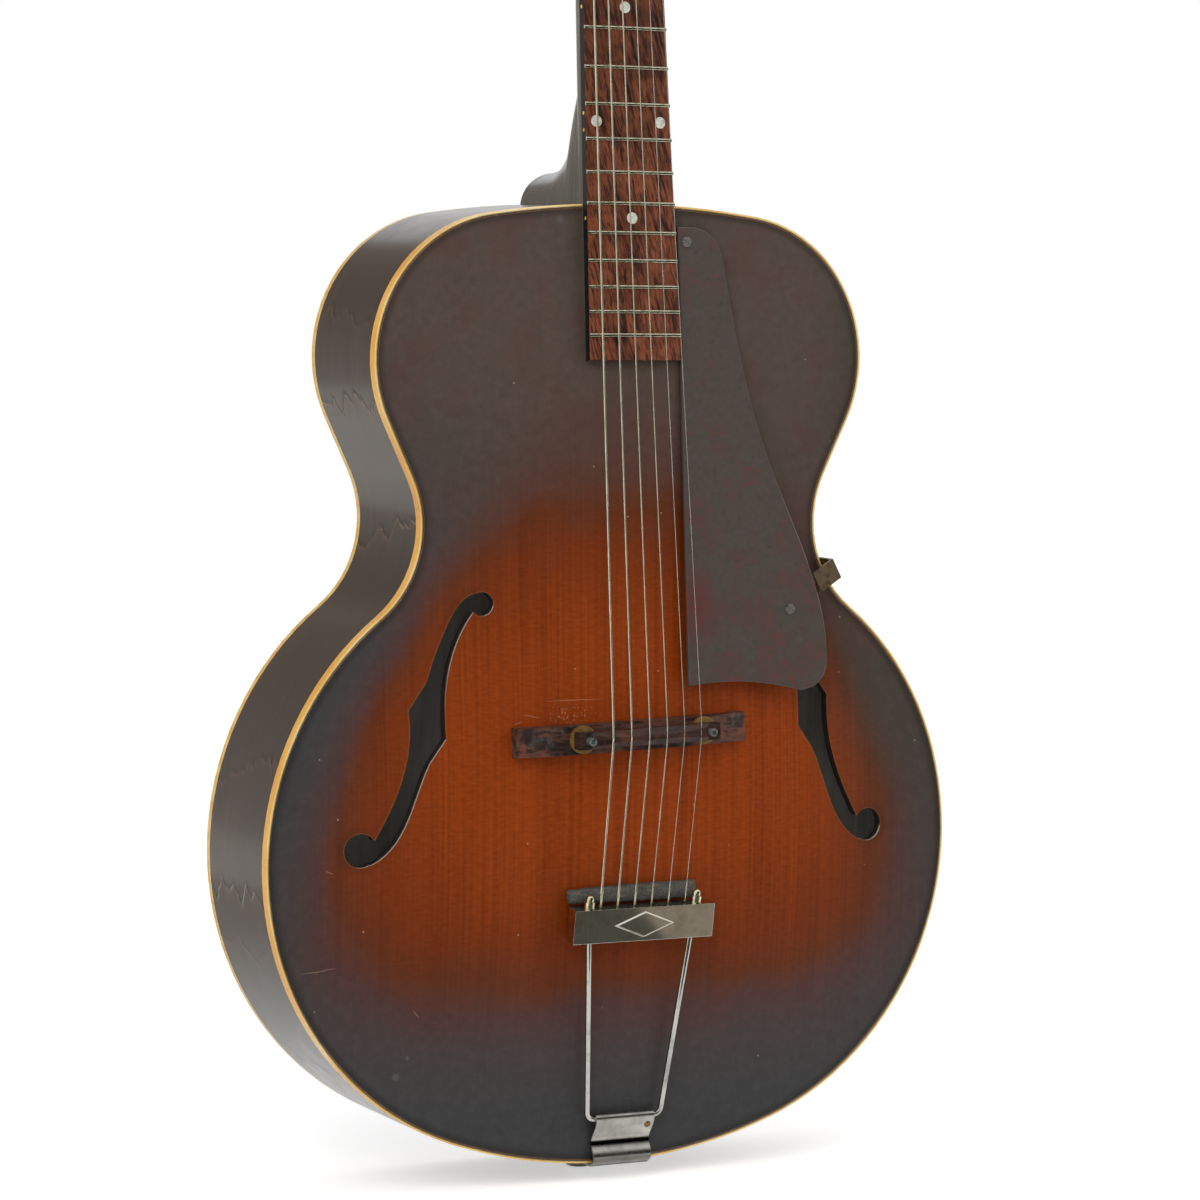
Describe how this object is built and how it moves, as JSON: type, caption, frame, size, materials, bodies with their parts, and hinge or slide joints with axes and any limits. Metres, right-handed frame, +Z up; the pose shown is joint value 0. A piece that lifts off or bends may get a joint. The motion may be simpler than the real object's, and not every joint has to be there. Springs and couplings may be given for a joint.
{
  "type": "archtop guitar",
  "caption": "Hollow-body archtop acoustic guitar with f-holes, floating bridge, trapeze tailpiece, pickguard and geared tuners.",
  "frame": {"origin": "where the end pin meets the tail of the body, at half the depth of the rim", "axes": "+Z up the centre line towards the headstock, -Y out of the carved top, +X towards the treble strings"},
  "size_m": [0.4084, 0.1577, 1.0411],
  "materials": {
    "top_wood": "gloss",
    "back_wood": "gloss",
    "rim_wood": "gloss",
    "binding": "gloss",
    "inner_wood": "matte",
    "black_plastic": "gloss",
    "neck_wood": "gloss",
    "board_wood": "satin",
    "fret_metal": "satin",
    "pearl": "gloss",
    "side_dot": "gloss",
    "bone": "satin",
    "steel": "satin",
    "brass": "satin",
    "wheel_brass": "matte",
    "tuner_metal": "polished",
    "button_plastic": "gloss",
    "wound_string": "satin",
    "plain_string": "polished",
    "bridge_wood": "satin",
    "nickel": "polished",
    "guard_plastic": "gloss",
    "bracket_metal": "satin",
    "foam": "matte"
  },
  "bodies": {
    "root": {"back_binding": "binding", "back_plate": "back_wood", "body_screws": "steel", "bridge_base": "bridge_wood", "bridge_posts": "steel", "damper_pad": "foam", "end_pin": "black_plastic", "fret_dots": "pearl", "fretboard": "board_wood", "frets": "fret_metal", "headstock_screws": "steel", "headstock_veneer": "black_plastic", "linings": "inner_wood", "neck": "neck_wood", "neck_block": "inner_wood", "nut": "bone", "pickguard": "guard_plastic", "pickguard_bracket": "bracket_metal", "pickguard_spacer": "guard_plastic", "post_bushings": "tuner_metal", "rib_bass": "rim_wood", "rib_treble": "rim_wood", "side_dots": "side_dot", "strings_plain": "plain_string", "strings_wound": "wound_string", "tail_block": "inner_wood", "tailpiece_hinge": "nickel", "tone_bars": "inner_wood", "top_binding": "binding", "top_plate": "top_wood", "truss_rod": "steel", "truss_rod_cover": "black_plastic", "truss_rod_nut": "brass", "tuner_plate_bass": "tuner_metal", "tuner_plate_treble": "tuner_metal"},
    "tuner_key_1": {"tuner_worm_1": "tuner_metal", "tuner_button_1": "button_plastic"},
    "tuner_post_1": {"tuner_post_1": "tuner_metal"},
    "tuner_key_2": {"tuner_worm_2": "tuner_metal", "tuner_button_2": "button_plastic"},
    "tuner_post_2": {"tuner_post_2": "tuner_metal"},
    "tuner_key_3": {"tuner_worm_3": "tuner_metal", "tuner_button_3": "button_plastic"},
    "tuner_post_3": {"tuner_post_3": "tuner_metal"},
    "tuner_key_4": {"tuner_worm_4": "tuner_metal", "tuner_button_4": "button_plastic"},
    "tuner_post_4": {"tuner_post_4": "tuner_metal"},
    "tuner_key_5": {"tuner_worm_5": "tuner_metal", "tuner_button_5": "button_plastic"},
    "tuner_post_5": {"tuner_post_5": "tuner_metal"},
    "tuner_key_6": {"tuner_worm_6": "tuner_metal", "tuner_button_6": "button_plastic"},
    "tuner_post_6": {"tuner_post_6": "tuner_metal"},
    "saddle": {"bridge_saddle": "bridge_wood"},
    "thumbwheel_bass": {"thumbwheel_bass": "wheel_brass"},
    "thumbwheel_treble": {"thumbwheel_treble": "wheel_brass"},
    "trapeze": {"trapeze_rod": "nickel", "tailpiece_bar": "nickel", "dome_nuts": "nickel", "ball_ends": "brass"}
  },
  "joints": [
    {"name": "tuner_key_1_turn", "type": "hinge", "parent": "root", "child": "tuner_key_1", "pos_m": [-0.022, 0.03315, 0.91686], "axis": [1, 0, 0], "continuous": true},
    {"name": "tuner_post_1_turn", "type": "hinge", "parent": "root", "child": "tuner_post_1", "pos_m": [-0.022, 0.01143, 0.91817], "axis": [0, 0.9201, -0.3917], "continuous": true},
    {"name": "tuner_key_2_turn", "type": "hinge", "parent": "root", "child": "tuner_key_2", "pos_m": [-0.022, 0.04804, 0.95182], "axis": [1, 0, 0], "continuous": true},
    {"name": "tuner_post_2_turn", "type": "hinge", "parent": "root", "child": "tuner_post_2", "pos_m": [-0.022, 0.02632, 0.95313], "axis": [0, 0.9201, -0.3917], "continuous": true},
    {"name": "tuner_key_3_turn", "type": "hinge", "parent": "root", "child": "tuner_key_3", "pos_m": [-0.022, 0.06292, 0.98679], "axis": [1, 0, 0], "continuous": true},
    {"name": "tuner_post_3_turn", "type": "hinge", "parent": "root", "child": "tuner_post_3", "pos_m": [-0.022, 0.0412, 0.9881], "axis": [0, 0.9201, -0.3917], "continuous": true},
    {"name": "tuner_key_4_turn", "type": "hinge", "parent": "root", "child": "tuner_key_4", "pos_m": [0.022, 0.06292, 0.98679], "axis": [1, 0, 0], "continuous": true},
    {"name": "tuner_post_4_turn", "type": "hinge", "parent": "root", "child": "tuner_post_4", "pos_m": [0.022, 0.0412, 0.9881], "axis": [0, 0.9201, -0.3917], "continuous": true},
    {"name": "tuner_key_5_turn", "type": "hinge", "parent": "root", "child": "tuner_key_5", "pos_m": [0.022, 0.04804, 0.95182], "axis": [1, 0, 0], "continuous": true},
    {"name": "tuner_post_5_turn", "type": "hinge", "parent": "root", "child": "tuner_post_5", "pos_m": [0.022, 0.02632, 0.95313], "axis": [0, 0.9201, -0.3917], "continuous": true},
    {"name": "tuner_key_6_turn", "type": "hinge", "parent": "root", "child": "tuner_key_6", "pos_m": [0.022, 0.03315, 0.91686], "axis": [1, 0, 0], "continuous": true},
    {"name": "tuner_post_6_turn", "type": "hinge", "parent": "root", "child": "tuner_post_6", "pos_m": [0.022, 0.01143, 0.91817], "axis": [0, 0.9201, -0.3917], "continuous": true},
    {"name": "saddle_lift", "type": "slide", "parent": "root", "child": "saddle", "axis": [0, -1, 0], "range_m": [-0.00252, 0.00402], "deforming": ["strings_wound", "strings_plain"]},
    {"name": "thumbwheel_bass_turn", "type": "hinge", "parent": "saddle", "child": "thumbwheel_bass", "pos_m": [-0.03598, -0.0425, 0.23532], "axis": [0, -1, 0], "range_deg": [-1125, 1800], "deforming": ["strings_wound", "strings_plain"]},
    {"name": "thumbwheel_treble_turn", "type": "hinge", "parent": "saddle", "child": "thumbwheel_treble", "pos_m": [0.03598, -0.0425, 0.23771], "axis": [0, -1, 0], "range_deg": [-1130, 1805], "deforming": ["strings_wound", "strings_plain"]},
    {"name": "trapeze_swing", "type": "hinge", "parent": "root", "child": "trapeze", "pos_m": [0.0026, -0.049, 0.0257], "axis": [1, 0, 0], "range_deg": [-0.68, 1.08], "deforming": ["strings_wound", "strings_plain"]}
  ],
  "couplings": [
    {"joint": "tuner_post_1_turn", "follows": "tuner_key_1_turn", "ratio": -0.071429},
    {"joint": "tuner_post_2_turn", "follows": "tuner_key_2_turn", "ratio": -0.071429},
    {"joint": "tuner_post_3_turn", "follows": "tuner_key_3_turn", "ratio": -0.071429},
    {"joint": "tuner_post_4_turn", "follows": "tuner_key_4_turn", "ratio": -0.071429},
    {"joint": "tuner_post_5_turn", "follows": "tuner_key_5_turn", "ratio": -0.071429},
    {"joint": "tuner_post_6_turn", "follows": "tuner_key_6_turn", "ratio": -0.071429},
    {"joint": "saddle_lift", "follows": "thumbwheel_bass_turn", "m_per_rad": 0.00012732},
    {"joint": "thumbwheel_treble_turn", "follows": "thumbwheel_bass_turn", "ratio": 1},
    {"joint": "trapeze_swing", "follows": "thumbwheel_bass_turn", "ratio": 0.00058747}
  ]
}
